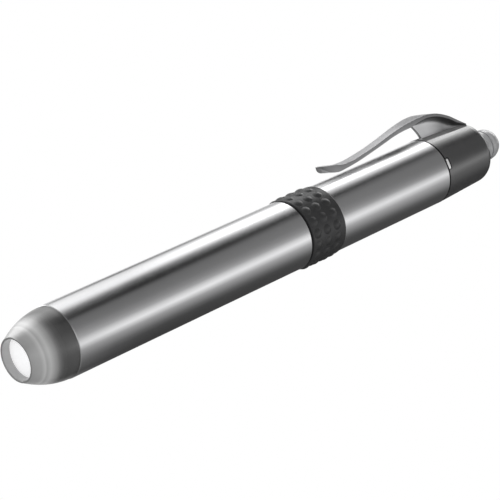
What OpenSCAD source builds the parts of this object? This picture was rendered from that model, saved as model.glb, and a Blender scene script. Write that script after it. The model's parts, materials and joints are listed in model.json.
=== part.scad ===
// Penlight for two slim cells in line. The light lies along X and shines towards +X.
// The origin is on the axis, in the middle of the front barrel. The pocket clip is on top, at +Z.
// Front half: nose, light engine, front barrel and cells. Rear half: grip ring, rear barrel, cap and switch.
// The rear half unscrews from the front half at the grip ring.

/* [Barrels] */
// Outer diameter of both steel barrels
tube_d = 14; // [12:0.1:16]
// Wall of the steel barrels
tube_wall = 0.5; // [0.4:0.05:0.6]
// Length of the front barrel, from the nose to the grip ring
front_barrel_len = 59.2; // [52:0.1:66]
// Room from the rear cell back to the end of the rear barrel
spring_room = 3.6; // [3.2:0.1:6]
// Chamfer on the ends of both barrels
tube_chamfer = 0.12; // [0.05:0.01:0.2]
// Angle of the rear barrel's key tab, from the clip towards +Y
key_angle = 78; // [40:1:140]
// Width of the key tab
key_w = 2.2; // [1.5:0.1:3]
// How far the key tab reaches into the tail cap
key_len = 1; // [0.6:0.1:1.4]

/* [Nose] */
// Length of the nose in front of the barrel
nose_len = 8.9; // [8.4:0.1:11]
// Step from the barrel's surface down to the nose's foot
nose_step = 0.1; // [0.05:0.05:0.3]
// Diameter of the nose at its mouth
nose_mouth_d = 8.6; // [8.4:0.1:9.4]
// Diameter of the bore at the mouth
nose_bore_d = 7.8; // [7.4:0.1:8]
// Depth of the bore in front of the lens
nose_bore_depth = 1.85; // [1.4:0.05:2.2]
// Length of the spigot that sits in the front barrel
spigot_len = 7; // [6:0.1:8]
// Wall of the nose's spigot
spigot_wall = 1.5; // [1.4:0.05:1.7]

/* [Light engine] */
// Diameter of the lens
lens_d = 8.8; // [8.5:0.1:9]
// Thickness of the lens at its edge
lens_edge = 1; // [0.8:0.1:1.3]
// Height of the lens's domed front
lens_dome = 0.35; // [0.2:0.05:0.5]
// Wall of the reflector at its mouth
reflector_wall = 0.35; // [0.25:0.05:0.6]
// Diameter of the light-emitting diode's body
led_d = 5; // [4:0.1:5.2]
// Diameter of the diode's flange
led_flange_d = 5.8; // [5.5:0.1:6]
// Thickness of the diode's flange
led_flange_t = 1; // [0.6:0.1:1.4]
// Height of the diode with its domed tip
led_len = 5.8; // [5:0.1:6]
// Thickness of the circuit board
board_t = 1; // [0.8:0.1:1.6]
// How far the board's face lies inside the barrel's front end
board_inset = 0.6; // [0.5:0.1:1.2]
// Thickness of the holder's flange behind the spigot
holder_flange_t = 0.8; // [0.5:0.1:1.2]
// Diameter of the front contact's pin
front_pin_d = 3; // [2:0.1:4]
// Diameter of the front contact's head
front_head_d = 5.2; // [4:0.1:6]
// Thickness of the front contact's head
front_head_t = 0.6; // [0.4:0.1:1]

/* [Cells] */
// Wall of the liners, which keep the cells away from the barrels
liner_wall = 1.1; // [1.05:0.05:1.4]
// Length of a cell with its nub
cell_len = 44.5; // [40:0.1:50]
// Diameter of a cell's nub
nub_d = 3.8; // [3:0.1:4.2]
// Height of a cell's nub
nub_h = 1; // [0.8:0.1:1.4]
// Edge radius of a cell
cell_edge = 0.5; // [0.3:0.1:0.8]

/* [Thread joint] */
// Travel along the axis at which the thread lets go
thread_travel = 6; // [4:0.5:6]
// Length of the threaded bush in the front barrel
insert_len = 9; // [8:0.5:12]
// Radial depth of the threaded bush
insert_wall = 0.42; // [0.35:0.01:0.45]
// Length of the plain land that seals in the front barrel's end
seal_land_len = 3.3; // [3:0.1:5]
// Length of the coupler's press fit in the rear barrel
coupler_press_len = 8; // [5:0.5:12]
// Thickness of the coupler's flange in front of the grip ring
flange_t = 0.3; // [0.2:0.05:0.6]
// Step from the barrel's surface down to the coupler's flange
flange_step = 0.35; // [0.3:0.05:0.5]
// Gap between the front barrel and the coupler's flange
flange_gap = 0.1; // [0.08:0.02:0.2]
// Depth of the coupler's seat for the grip ring, below the barrel's surface
ring_seat_depth = 0.7; // [0.6:0.05:0.8]

/* [Seals] */
// Section diameter of both O-rings
o_ring_d = 0.6; // [0.4:0.05:0.65]
// Extra width of an O-ring's groove
o_ring_play = 0.3; // [0.2:0.05:0.5]

/* [Grip ring] */
// Length of the grip ring with the coupler's flange
ring_len = 9.6; // [9:0.1:12]
// Height of the ring's band above the barrels
ring_rise = 0.18; // [0.16:0.02:0.3]
// Bevel on the ring's edges
ring_bevel = 0.25; // [0.1:0.05:0.4]
// Height of the raised bumps
bump_h = 0.28; // [0.2:0.02:0.5]
// Diameter of the raised bumps
bump_d = 2; // [1.4:0.1:2.1]
// Distance from the front of the ring to the middle of the first row of bumps
bump_inset = 1.7; // [1.5:0.1:2]
// Distance between the rows of bumps along the axis
bump_pitch = 2.75; // [2.3:0.05:3]
// Number of bumps around the ring
bump_count = 18; // [12:1:20]
// Angle of the first bump from the clip towards +Y
bump_angle = 12; // [0:1:19]

/* [Tail cap] */
// Gap between the rear barrel and the tail cap
cap_gap = 0.1; // [0.06:0.02:0.16]
// Length of the tail cap behind the rear barrel
cap_len = 15.2; // [15:0.1:18]
// How much the cap's radius shrinks towards its shoulder
cap_taper = 0.52; // [0.2:0.02:0.6]
// Radius of the rounded shoulder
cap_shoulder_r = 1.9; // [1.2:0.1:2]
// Chamfer on the cap's front edge
cap_chamfer = 0.12; // [0.05:0.01:0.2]
// Length of the cap's spigot in the rear barrel
cap_spigot_len = 5; // [4:0.1:6]
// Wall of the cap's spigot around the switch
cap_wall = 1.1; // [1.05:0.05:1.2]
// Flat rim between the cap's rounded shoulder and the bore for the button
cap_rim = 1.12; // [1:0.02:1.3]

/* [Switch] */
// Length of the switch body
switch_len = 7.8; // [7.8:0.1:8]
// How far the switch body lies behind the cap's front edge
switch_inset = 1.5; // [1.3:0.1:1.6]
// Front wall of the switch body
switch_front_wall = 1.2; // [0.8:0.1:1.3]
// Rear wall of the switch body
switch_rear_wall = 1.4; // [1:0.1:1.5]
// Diameter of the chamber in the switch body
chamber_d = 5.4; // [5.2:0.1:6]
// Length of the retaining ring in front of the switch
retainer_len = 1.8; // [1:0.1:2]
// Radial depth of the retaining ring
retainer_wall = 1.05; // [0.8:0.05:1.2]
// Gap between the fixed contact's front head and the retaining ring
fixed_head_gap = 0.6; // [0.4:0.05:0.8]
// Thickness of the fixed contact's front head
fixed_head_t = 0.5; // [0.3:0.1:0.8]
// Diameter of the fixed contact's shank
fixed_shank_d = 1.6; // [1.2:0.1:2]
// Diameter of the fixed contact's inner head
fixed_tip_d = 2.8; // [2.2:0.1:3]
// Thickness of the fixed contact's inner head
fixed_tip_t = 0.3; // [0.2:0.05:0.4]
// Diameter of the plunger's stem
stem_d = 3.2; // [2.6:0.1:3.6]
// Diameter of the plunger's collar
collar_d = 4.8; // [4.6:0.1:5]
// Thickness of the plunger's collar
collar_t = 1; // [0.6:0.1:1.1]
// Diameter of the plunger's tip
tip_d = 1.6; // [1:0.1:2]
// Diameter of the contact disc
disc_d = 2.8; // [2.2:0.1:3]
// Thickness of the contact disc
disc_t = 0.4; // [0.3:0.05:0.5]
// Thickness of the brass ground ring
ground_t = 0.8; // [0.5:0.1:1.2]
// Width of the ground ring's leg
leg_w = 2; // [1.4:0.1:2.4]
// Radial thickness of the leg
leg_t = 0.3; // [0.2:0.05:0.35]
// Depth of the leg's foot in the switch body
foot_depth = 0.8; // [0.5:0.1:1]
// Length of the leg's foot
foot_len = 0.8; // [0.5:0.1:1]

/* [Springs] */
// How far the spring behind the cells stays inside the edge of the fixed contact's head
cell_spring_inset = 0.5; // [0.3:0.05:0.8]
// Wire of the spring behind the cells
cell_spring_wire = 0.6; // [0.4:0.05:0.7]
// Turns of the spring behind the cells
cell_spring_turns = 4; // [3:0.5:4]
// Outer diameter of the button's return spring
return_spring_d = 4.3; // [4.1:0.1:4.6]
// Wire of the return spring
return_spring_wire = 0.35; // [0.3:0.05:0.4]
// Turns of the return spring
return_spring_turns = 4; // [3:0.5:4.5]

/* [Push button] */
// Travel of the push button
button_travel = 2; // [1:0.1:2]
// Height of the button's straight part behind the cap
button_out = 4.4; // [3.6:0.1:5]
// Width of the flange that keeps the button in the cap
button_flange_w = 1; // [0.8:0.05:1.1]
// Thickness of the button's flange
button_flange_t = 0.8; // [0.6:0.1:0.9]
// Distance from the groove to where the button's dome starts
button_groove_back = 1; // [0.6:0.1:1.4]
// Width of the groove around the button
button_groove_w = 0.35; // [0.2:0.05:0.5]
// Depth of the groove around the button
button_groove_depth = 0.15; // [0.1:0.05:0.3]
// Thickness of the rubber washer behind the button's flange
gasket_t = 0.45; // [0.3:0.05:0.6]

/* [Pocket clip] */
// Length of the clip's free arm in front of its saddle
clip_arm_len = 27; // [20:0.1:30]
// Height of the clip's arch above the barrels
clip_rise = 4.85; // [4.2:0.05:6]
// Width of the clip at its root
clip_w = 4.9; // [4:0.1:5.5]
// Radius of the clip's rounded edges
clip_edge_r = 0.12; // [0.05:0.01:0.2]
// Height of the clip's crown across its width
clip_crown = 0.12; // [0:0.02:0.2]
// Length of the clip's rounded tip
clip_tip_len = 2.9; // [1.5:0.1:4]
// Distance from the clip's root to the rear of the cap
clip_root_inset = 1.9; // [1.9:0.1:2.5]
// How far the arch reaches over the rear barrel before the arm flexes
saddle_lead = 2.2; // [1:0.1:3]
// Thickness of the web under the arch
web_t = 0.7; // [0.5:0.1:1.5]
// Distance from the cap's front edge back to the foot of the web
web_setback = 1; // [0.5:0.1:2]
// Radius of the cove between the web and the arch
cove_r = 1.8; // [0.8:0.1:2.2]
// Width of the saddle's foot, which is let into the cap
foot_w = 4.9; // [4:0.1:5.2]
// How far the foot stands proud of the cap
foot_proud = 0.06; // [0.02:0.02:0.16]
// Depth of the foot's seat below the barrel's surface
foot_seat_depth = 1.02; // [0.9:0.02:1.05]

/* [Fits] */
// Gap between pieces that are pressed, glued or clamped together
fixed_gap = 0.03; // [0.02:0.01:0.05]
// Radial gap between pieces that turn or slide in each other
running_gap = 0.06; // [0.04:0.01:0.08]
// Gap between faces of different bodies that just touch
touch_gap = 0.05; // [0.04:0.01:0.1]
// Room around the cells
cell_gap = 0.12; // [0.1:0.01:0.14]
// Gap around the key tab
key_gap = 0.18; // [0.1:0.01:0.24]

/* [Hidden] */

// Facets of round pieces, steps of rounded edges, and the overrun of every cut
round_fn = 96;
small_fn = 24;
arc_steps = 6;
nose_steps = 18;
cut = 1;

// Radii that the pieces share
tube_r = tube_d / 2;
tube_inner_r = tube_r - tube_wall;
inset_r = tube_inner_r - fixed_gap;
cell_room_r = inset_r - liner_wall;
cell_r = cell_room_r - cell_gap;

// Places along the axis, from the nose to the tail
joint_x = front_barrel_len / 2;
mouth_x = joint_x + nose_len;
lens_x = mouth_x - nose_bore_depth;
reflector_x = lens_x - lens_edge;
board_x = joint_x - board_inset;
spigot_x = joint_x - spigot_len;
holder_x = spigot_x - holder_flange_t;
cells_x = holder_x - front_head_t;
cells_rear_x = cells_x - 2 * cell_len;
ring_front_x = -front_barrel_len / 2;
flange_front_x = ring_front_x - flange_gap;
band_front_x = flange_front_x - flange_t;
ring_rear_x = ring_front_x - ring_len;
seal_front_x = flange_front_x + seal_land_len;
insert_rear_x = seal_front_x + touch_gap;
insert_front_x = insert_rear_x + insert_len;
coupler_front_x = insert_rear_x + thread_travel;
coupler_rear_x = ring_rear_x - coupler_press_len;
barrel_rear_x = cells_rear_x - spring_room;
cap_front_x = barrel_rear_x - cap_gap;
cap_rear_x = cap_front_x - cap_len;
cap_shoulder_x = cap_rear_x + cap_shoulder_r;
cap_spigot_x = cap_front_x + cap_spigot_len;
ground_front_x = cap_spigot_x + ground_t;
switch_front_x = cap_front_x - switch_inset;
switch_rear_x = switch_front_x - switch_len;
chamber_front_x = switch_front_x - switch_front_wall;
chamber_rear_x = switch_rear_x + switch_rear_wall;
fixed_tip_x = chamber_front_x - fixed_tip_t;
disc_front_x = fixed_tip_x - button_travel - touch_gap;
foot_x = chamber_front_x - foot_len;
collar_front_x = chamber_rear_x + touch_gap + collar_t;
button_front_x = switch_rear_x - button_travel - touch_gap;
button_flange_x = button_front_x - button_flange_t;
gasket_x = button_flange_x - touch_gap;
pocket_rear_x = gasket_x - gasket_t;
dome_x = cap_rear_x - button_out;

// Radii of the inner pieces
nose_foot_r = tube_r - nose_step;
nose_mouth_r = nose_mouth_d / 2;
nose_bore_r = nose_bore_d / 2;
lip_r = (nose_mouth_r - nose_bore_r) / 2;
lens_room_r = lens_d / 2 + fixed_gap;
board_room_r = inset_r - spigot_wall;
board_r = board_room_r - fixed_gap;
groove_depth = o_ring_d + fixed_gap;
groove_w = o_ring_d + o_ring_play;
thread_r = tube_inner_r - insert_wall - running_gap;
land_r = tube_inner_r - running_gap;
ring_seat_r = tube_r - ring_seat_depth;
band_r = tube_r + ring_rise;
cap_bore_r = inset_r - cap_wall;
cap_rear_r = tube_r - cap_taper;
button_bore_r = cap_rear_r - cap_shoulder_r - cap_rim;
button_r = button_bore_r - running_gap;
button_flange_r = button_r + button_flange_w;
button_pocket_r = button_flange_r + running_gap;
switch_r = cap_bore_r - fixed_gap;
retainer_inner_r = switch_r - retainer_wall;
fixed_head_r = retainer_inner_r - fixed_head_gap;
cell_spring_r = fixed_head_r - cell_spring_inset;
foot_floor_z = tube_r - foot_seat_depth;
leg_outer_z = cap_bore_r + leg_t + fixed_gap;

// A piece turned about the axis of the light, from an outline of [radius, place along X]
module turned() {
  rotate([0, 90, 0])
    rotate_extrude($fn = round_fn)
      children();
}

module pipe(outer_r, inner_r, rear_x, front_x) {
  turned()
    polygon([[inner_r, rear_x], [outer_r, rear_x], [outer_r, front_x], [inner_r, front_x]]);
}

module rod(r, rear_x, front_x) {
  turned()
    polygon([[0, rear_x], [r, rear_x], [r, front_x], [0, front_x]]);
}

// A pipe with a chamfer on each outer edge
module chamfered_pipe(outer_r, inner_r, rear_x, front_x, chamfer) {
  turned()
    polygon([
      [inner_r, rear_x],
      [outer_r - chamfer, rear_x],
      [outer_r, rear_x + chamfer],
      [outer_r, front_x - chamfer],
      [outer_r - chamfer, front_x],
      [inner_r, front_x]
    ]);
}

// An O-ring whose outside touches a bore of radius wall_r
module o_ring(wall_r, place_x) {
  translate([place_x, 0, 0])
    rotate([0, 90, 0])
      rotate_extrude($fn = round_fn)
        translate([wall_r - o_ring_d / 2, 0])
          circle(d = o_ring_d, $fn = small_fn);
}

// Points of a quarter or longer arc, as [radius, place along X]
function arc_points(centre_r, centre_x, r, from_angle, to_angle) = [
  for (i = [0 : arc_steps])
    let (a = from_angle + (to_angle - from_angle) * i / arc_steps)
      [centre_r + r * cos(a), centre_x + r * sin(a)]
];

// A wire wound along X between two places; outer_d is measured over the wire
module coil(outer_d, wire, turns, rear_x, front_x) {
  ring_count = 12;
  sides = 6;
  steps = round(turns * ring_count);
  rise = front_x - rear_x - wire;
  points = [
    for (i = [0 : steps], k = [0 : sides - 1])
      let (
        a = 360 * turns * i / steps,
        b = 360 * k / sides,
        r = (outer_d - wire) / 2 + wire / 2 * cos(b)
      )
        [rear_x + wire / 2 + rise * i / steps + wire / 2 * sin(b), r * cos(a), r * sin(a)]
  ];
  polyhedron(points, loft_faces(steps + 1, sides), convexity = 8);
}

// Triangles between rings of points. Each end is closed by a ladder of triangles from side to side,
// so a ring runs up one side of its section and down the other.
function loft_faces(rings, sides) = concat(
  [
    for (i = [0 : rings - 2], k = [0 : sides - 1], half = [0, 1])
      let (
        a = i * sides + k,
        b = i * sides + (k + 1) % sides,
        c = a + sides,
        d = b + sides
      )
        half == 0 ? [a, b, c] : [b, d, c]
  ],
  [
    for (k = [0 : sides / 2 - 2], half = [0, 1])
      half == 0 ? [k + 1, k, sides - 1 - k] : [sides - 2 - k, k + 1, sides - 1 - k]
  ],
  [
    for (k = [0 : sides / 2 - 2], half = [0, 1])
      let (last = (rings - 1) * sides)
        half == 0
          ? [last + k, last + k + 1, last + sides - 1 - k]
          : [last + k + 1, last + sides - 2 - k, last + sides - 1 - k]
  ]
);

// A solid through sections that are given by their right half, as [x, y, z] from the bottom up
module mirrored_loft(halves) {
  count = len(halves[0]);
  points = [
    for (half = halves, i = [0 : 2 * count - 1])
      i < count
        ? let (p = half[i]) [p[0], -p[1], p[2]]
        : half[2 * count - 1 - i]
  ];
  polyhedron(points, loft_faces(len(halves), 2 * count), convexity = 8);
}

// Front half

// Radius of the nose's bullet outline at a share of its length, tangent to the barrel at its foot
function nose_r(share) = nose_foot_r - (nose_foot_r - nose_mouth_r) * share * share;

module nose_housing() {
  lip_x = mouth_x - lip_r;
  groove_x = spigot_x + spigot_len / 2;
  color([0.45, 0.45, 0.45])
    turned()
      polygon(concat(
        [
          [board_room_r, spigot_x],
          [inset_r, spigot_x],
          [inset_r, groove_x - groove_w / 2],
          [inset_r - groove_depth, groove_x - groove_w / 2],
          [inset_r - groove_depth, groove_x + groove_w / 2],
          [inset_r, groove_x + groove_w / 2],
          [inset_r, joint_x]
        ],
        [for (i = [0 : nose_steps]) [nose_r(i / nose_steps), joint_x + (lip_x - joint_x) * i / nose_steps]],
        arc_points(nose_bore_r + lip_r, lip_x, lip_r, 180 / arc_steps, 180),
        [
          [nose_bore_r, lens_x],
          [lens_room_r, lens_x],
          [lens_room_r, board_x],
          [board_room_r, board_x]
        ]
      ));
}

module front_lens() {
  dome_r = nose_bore_r - fixed_gap;
  color([0.96, 0.97, 1])
    turned()
      polygon(concat(
        [[0, reflector_x], [lens_d / 2, reflector_x], [lens_d / 2, lens_x]],
        [
          for (i = [0 : arc_steps])
            let (a = 90 * i / arc_steps)
              [dome_r * cos(a), lens_x + lens_dome * sin(a)]
        ]
      ));
}

module reflector() {
  depth = reflector_x - board_x;
  mouth_r = lens_d / 2 - reflector_wall;
  throat_r = led_flange_d / 2 + fixed_gap;
  color([0.85, 0.85, 0.87])
    turned()
      polygon(concat(
        [[throat_r, board_x], [lens_d / 2, board_x], [lens_d / 2, reflector_x]],
        [
          for (i = [arc_steps : -1 : 1])
            let (share = i / arc_steps)
              [throat_r + (mouth_r - throat_r) * sqrt(share), board_x + led_flange_t
                + (depth - led_flange_t) * share]
        ],
        [[throat_r, board_x + led_flange_t]]
      ));
}

module led_emitter() {
  led_r = led_d / 2;
  color([0.95, 0.95, 0.85])
    turned()
      polygon(concat(
        [
          [0, board_x],
          [led_flange_d / 2, board_x],
          [led_flange_d / 2, board_x + led_flange_t],
          [led_r, board_x + led_flange_t]
        ],
        arc_points(0, board_x + led_len - led_r, led_r, 0, 90)
      ));
}

module led_board() {
  color([0.1, 0.35, 0.2])
    rod(board_r, board_x - board_t, board_x);
}

module led_holder() {
  color([0.15, 0.15, 0.15])
    difference() {
      union() {
        rod(board_r, holder_x, board_x - board_t);
        rod(inset_r, holder_x, spigot_x);
      }
      rod(front_pin_d / 2 + fixed_gap, holder_x - cut, board_x + cut);
    }
}

module front_contact() {
  color([0.8, 0.65, 0.3])
    union() {
      rod(front_pin_d / 2, holder_x, board_x - board_t);
      rod(front_head_d / 2, cells_x, holder_x);
    }
}

module nose_o_ring() {
  color([0.08, 0.08, 0.08])
    o_ring(inset_r, spigot_x + spigot_len / 2);
}

module front_barrel() {
  color([0.75, 0.75, 0.76])
    chamfered_pipe(tube_r, tube_inner_r, ring_front_x, joint_x, tube_chamfer);
}

module front_liner() {
  color([0.9, 0.9, 0.88])
    pipe(inset_r, cell_room_r, insert_front_x, holder_x);
}

module front_insert() {
  color([0.78, 0.62, 0.3])
    pipe(inset_r, thread_r + running_gap, insert_rear_x, insert_front_x);
}

// A cell with its nub towards the nose, from its nub's face
module cell(nub_x) {
  rear_x = nub_x - cell_len;
  shoulder_x = nub_x - nub_h;
  turned()
    polygon(concat(
      [[0, rear_x]],
      arc_points(cell_r - cell_edge, rear_x + cell_edge, cell_edge, -90, 0),
      arc_points(cell_r - cell_edge, shoulder_x - cell_edge, cell_edge, 0, 90),
      [[nub_d / 2, shoulder_x], [nub_d / 2, nub_x], [0, nub_x]]
    ));
}

module battery_front() {
  color([0.25, 0.3, 0.45])
    cell(cells_x);
}

module battery_rear() {
  color([0.3, 0.35, 0.5])
    cell(cells_x - cell_len);
}

// Rear half

module barrel_coupler() {
  groove_x = flange_front_x + seal_land_len / 2;
  color([0.35, 0.35, 0.36])
    turned()
      polygon([
        [cell_room_r, coupler_rear_x],
        [inset_r, coupler_rear_x],
        [inset_r, ring_rear_x],
        [ring_seat_r, ring_rear_x],
        [ring_seat_r, band_front_x],
        [tube_r - flange_step, band_front_x],
        [tube_r - flange_step, flange_front_x],
        [land_r, flange_front_x],
        [land_r, groove_x - groove_w / 2],
        [land_r - groove_depth, groove_x - groove_w / 2],
        [land_r - groove_depth, groove_x + groove_w / 2],
        [land_r, groove_x + groove_w / 2],
        [land_r, seal_front_x],
        [thread_r, seal_front_x],
        [thread_r, coupler_front_x],
        [cell_room_r, coupler_front_x]
      ]);
}

module joint_o_ring() {
  color([0.08, 0.08, 0.08])
    o_ring(land_r, flange_front_x + seal_land_len / 2);
}

// A shallow dome raised from the grip ring's band: the top of a sphere, cut off inside the band
module bump(place_x) {
  ball_r = (bump_d * bump_d / 4 + bump_h * bump_h) / (2 * bump_h);
  low_z = (ring_seat_r + band_r) / 2;
  rear_x = max(place_x - ball_r, ring_rear_x + ring_bevel / 2);
  front_x = min(place_x + ball_r, band_front_x - ring_bevel / 2);
  intersection() {
    translate([place_x, 0, band_r + bump_h - ball_r])
      sphere(r = ball_r, $fn = small_fn);
    translate([rear_x, -ball_r, low_z])
      cube([front_x - rear_x, 2 * ball_r, ball_r]);
  }
}

module grip_ring() {
  color([0.1, 0.1, 0.1])
    union() {
      chamfered_pipe(band_r, ring_seat_r + fixed_gap, ring_rear_x, band_front_x, ring_bevel);
      for (row = [0 : 2], i = [0 : bump_count - 1])
        rotate([-bump_angle - 360 * i / bump_count, 0, 0])
          bump(ring_front_x - bump_inset - row * bump_pitch);
    }
}

// A bar across the wall of a tube, at the key tab's angle
module key_bar(w, rear_x, front_x) {
  rotate([-key_angle, 0, 0])
    translate([rear_x, -w / 2, tube_inner_r - tube_wall])
      cube([front_x - rear_x, w, 2 * tube_wall + cut]);
}

module rear_barrel() {
  color([0.75, 0.75, 0.76])
    union() {
      chamfered_pipe(tube_r, tube_inner_r, barrel_rear_x, ring_rear_x, tube_chamfer);
      intersection() {
        pipe(tube_r - tube_chamfer, tube_inner_r, barrel_rear_x - key_len, barrel_rear_x + tube_chamfer);
        key_bar(key_w, barrel_rear_x - key_len - cut, barrel_rear_x + cut);
      }
    }
}

module rear_liner() {
  color([0.9, 0.9, 0.88])
    pipe(inset_r, cell_room_r, ground_front_x, coupler_rear_x);
}

// Brass ring with a leg whose foot reaches inwards, into the switch body
module ground_ring() {
  color([0.78, 0.62, 0.3])
    union() {
      pipe(inset_r, cell_room_r, cap_spigot_x, ground_front_x);
      translate([foot_x, -leg_w / 2, -leg_outer_z])
        cube([ground_front_x - foot_x, leg_w, leg_t]);
      translate([foot_x, -leg_w / 2, -leg_outer_z])
        cube([foot_len, leg_w, leg_t + foot_depth]);
    }
}

module leg_slot() {
  translate([foot_x - fixed_gap, -leg_w / 2 - fixed_gap, -leg_outer_z - fixed_gap])
    cube([cap_spigot_x - foot_x + cut, leg_w + 2 * fixed_gap, leg_t + foot_depth]);
}

module foot_pocket() {
  translate([foot_x - fixed_gap, -leg_w / 2 - fixed_gap, -leg_outer_z - cut])
    cube([foot_len + 2 * fixed_gap, leg_w + 2 * fixed_gap, leg_t + foot_depth + cut + fixed_gap]);
}

// The seat for the foot of the clip's saddle in the top of the cap, behind the spigot
module foot_seat() {
  rear_x = clip_root_x - fixed_gap;
  difference() {
    translate([rear_x, -foot_w / 2 - fixed_gap, foot_floor_z])
      cube([cap_front_x - rear_x + cut, foot_w + 2 * fixed_gap, tube_r]);
    rod(inset_r, cap_front_x, cap_front_x + 2 * cut);
  }
}

// Radius of the cap's side at a place along X
function cap_r(x) =
  tube_r - cap_taper * max(0, cap_front_x - cap_chamfer - x) / (cap_front_x - cap_chamfer - cap_shoulder_x);

module tail_cap() {
  color([0.22, 0.22, 0.23])
    difference() {
      turned()
        polygon(concat(
          [
            [cap_bore_r, cap_spigot_x],
            [cap_bore_r, switch_rear_x],
            [button_pocket_r, switch_rear_x],
            [button_pocket_r, pocket_rear_x],
            [button_bore_r, pocket_rear_x],
            [button_bore_r, cap_rear_x]
          ],
          arc_points(cap_rear_r - cap_shoulder_r, cap_shoulder_x, cap_shoulder_r, -90, 0),
          [
            [tube_r, cap_front_x - cap_chamfer],
            [tube_r - cap_chamfer, cap_front_x],
            [inset_r, cap_front_x],
            [inset_r, cap_spigot_x]
          ]
        ));
      foot_seat();
      leg_slot();
      difference() {
        key_bar(key_w + 2 * key_gap, barrel_rear_x - key_len - key_gap, cap_front_x + cut);
        rod(inset_r, barrel_rear_x - key_len - cut, cap_front_x + 2 * cut);
      }
    }
}

// Pocket clip. Each row gives a station, the heights of the strip's top and underside above
// the barrels as shares of clip_rise, and its width as a share of clip_w. Station -1 is the
// root, 0 the place where the arm flexes and 1 the tip.
clip_shares = [
  [-1.00, -0.085, -0.105, 1.00],
  [-0.85, 0.235, 0.10, 0.98],
  [-0.70, 0.555, 0.41, 0.95],
  [-0.50, 0.84, 0.70, 0.92],
  [-0.30, 0.973, 0.82, 0.89],
  [-0.12, 0.99, 0.785, 0.87],
  [0.00, 0.96, 0.722, 0.84],
  [0.10, 0.887, 0.705, 0.78],
  [0.20, 0.794, 0.649, 0.72],
  [0.30, 0.689, 0.563, 0.69],
  [0.45, 0.546, 0.439, 0.655],
  [0.60, 0.443, 0.309, 0.68],
  [0.70, 0.402, 0.248, 0.724],
  [0.80, 0.43, 0.218, 0.795],
  [0.88, 0.553, 0.237, 0.86],
  [0.95, 0.652, 0.27, 0.895],
  [1.00, 0.72, 0.24, 0.905]
];
// How much less the tip's thickness is rounded than its width
tip_thin_power = 0.8;
// The tip is rounded up to this angle, which leaves it a small flat end
tip_end_angle = 84;
clip_root_x = cap_rear_x + clip_root_inset;
flex_x = cap_front_x + saddle_lead;
clip_tip_x = flex_x + clip_arm_len;

function station_x(station) =
  flex_x + station * (station < 0 ? flex_x - clip_root_x : clip_arm_len);

// Row of the table whose span holds a place along X
function row_at(x, row = 0) =
  row >= len(clip_shares) - 2 || x < station_x(clip_shares[row + 1][0]) ? row : row_at(x, row + 1);

// Slope of one column of the table at a row
function row_slope(row, column) =
  let (
    low = max(row - 1, 0),
    high = min(row + 1, len(clip_shares) - 1)
  )
    (clip_shares[high][column] - clip_shares[low][column])
      / (station_x(clip_shares[high][0]) - station_x(clip_shares[low][0]));

// Smooth curve through one column of the table, at a place along X
function clip_share(x, column) =
  let (
    row = row_at(x),
    start_x = station_x(clip_shares[row][0]),
    span = station_x(clip_shares[row + 1][0]) - start_x,
    u = (x - start_x) / span,
    rise = clip_shares[row + 1][column] - clip_shares[row][column],
    start_rise = row_slope(row, column) * span,
    end_rise = row_slope(row + 1, column) * span
  )
    clip_shares[row][column] + start_rise * u
      + (3 * rise - 2 * start_rise - end_rise) * u * u
      + (start_rise + end_rise - 2 * rise) * u * u * u;

// How far the strip is drawn in at a place along X: 1 up to where the round tip starts
function tip_share(x) =
  let (into_tip = max(0, (x - clip_tip_x + clip_tip_len) / clip_tip_len))
    sqrt(max(0, 1 - into_tip * into_tip));

function clip_mid_z(x) = tube_r + clip_rise * (clip_share(x, 1) + clip_share(x, 2)) / 2;
function clip_half_t(x) =
  clip_rise * (clip_share(x, 1) - clip_share(x, 2)) / 2 * pow(tip_share(x), tip_thin_power);
function clip_top_z(x) = clip_mid_z(x) + clip_half_t(x);
function clip_under_z(x) = clip_mid_z(x) - clip_half_t(x);
function clip_half_w(x) = clip_w / 2 * clip_share(x, 3) * tip_share(x);

function strip_edge(x) = min(clip_edge_r, (clip_top_z(x) - clip_under_z(x)) / 4, clip_half_w(x) / 3);

// Right half of the strip's section, from the bottom up, with a crowned top
function strip_half(x) =
  let (
    edge = strip_edge(x),
    side_y = clip_half_w(x) - edge,
    crown = min(clip_crown, edge),
    high_z = clip_top_z(x) - crown - edge,
    low_z = clip_under_z(x) + edge
  )
    concat(
      [for (a = [90, 45, 0]) [x, side_y + edge * cos(a), low_z - edge * sin(a)]],
      [for (a = [0, 45, 90]) [x, side_y + edge * cos(a), high_z + edge * sin(a)]],
      [for (share = [0.6, 0.25]) [x, side_y * share, clip_top_z(x) - crown * share * share]]
    );

module pocket_clip() {
  body_steps = 40;
  tip_steps = 8;
  start_x = flex_x + touch_gap;
  tip_start_x = clip_tip_x - clip_tip_len;
  stations = concat(
    [for (i = [0 : body_steps - 1]) start_x + (tip_start_x - start_x) * i / body_steps],
    [for (i = [0 : tip_steps]) tip_start_x + clip_tip_len * sin(tip_end_angle * i / tip_steps)]
  );
  color([0.6, 0.6, 0.61])
    mirrored_loft([for (x = stations) strip_half(x)]);
}

// Saddle of the clip: a foot let into the cap, a thin web on it, and the arch, joined by a cove.
// The web's front edge leans forward, so the places of a section's points vary with their height.
// Towards the root the web widens until it carries the whole width of the strip.
web_curve_power = 3;
web_widen_power = 5;
cove_grow_power = 6;
cove_front_share = 0.25;
cove_height_share = 0.85;

function between(from, to, share) = from + (to - from) * share;

// Height of the foot's surface at a place along X and a distance from the middle
function foot_z(x, y) = sqrt(pow(cap_r(x), 2) - y * y) + foot_proud;

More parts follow.
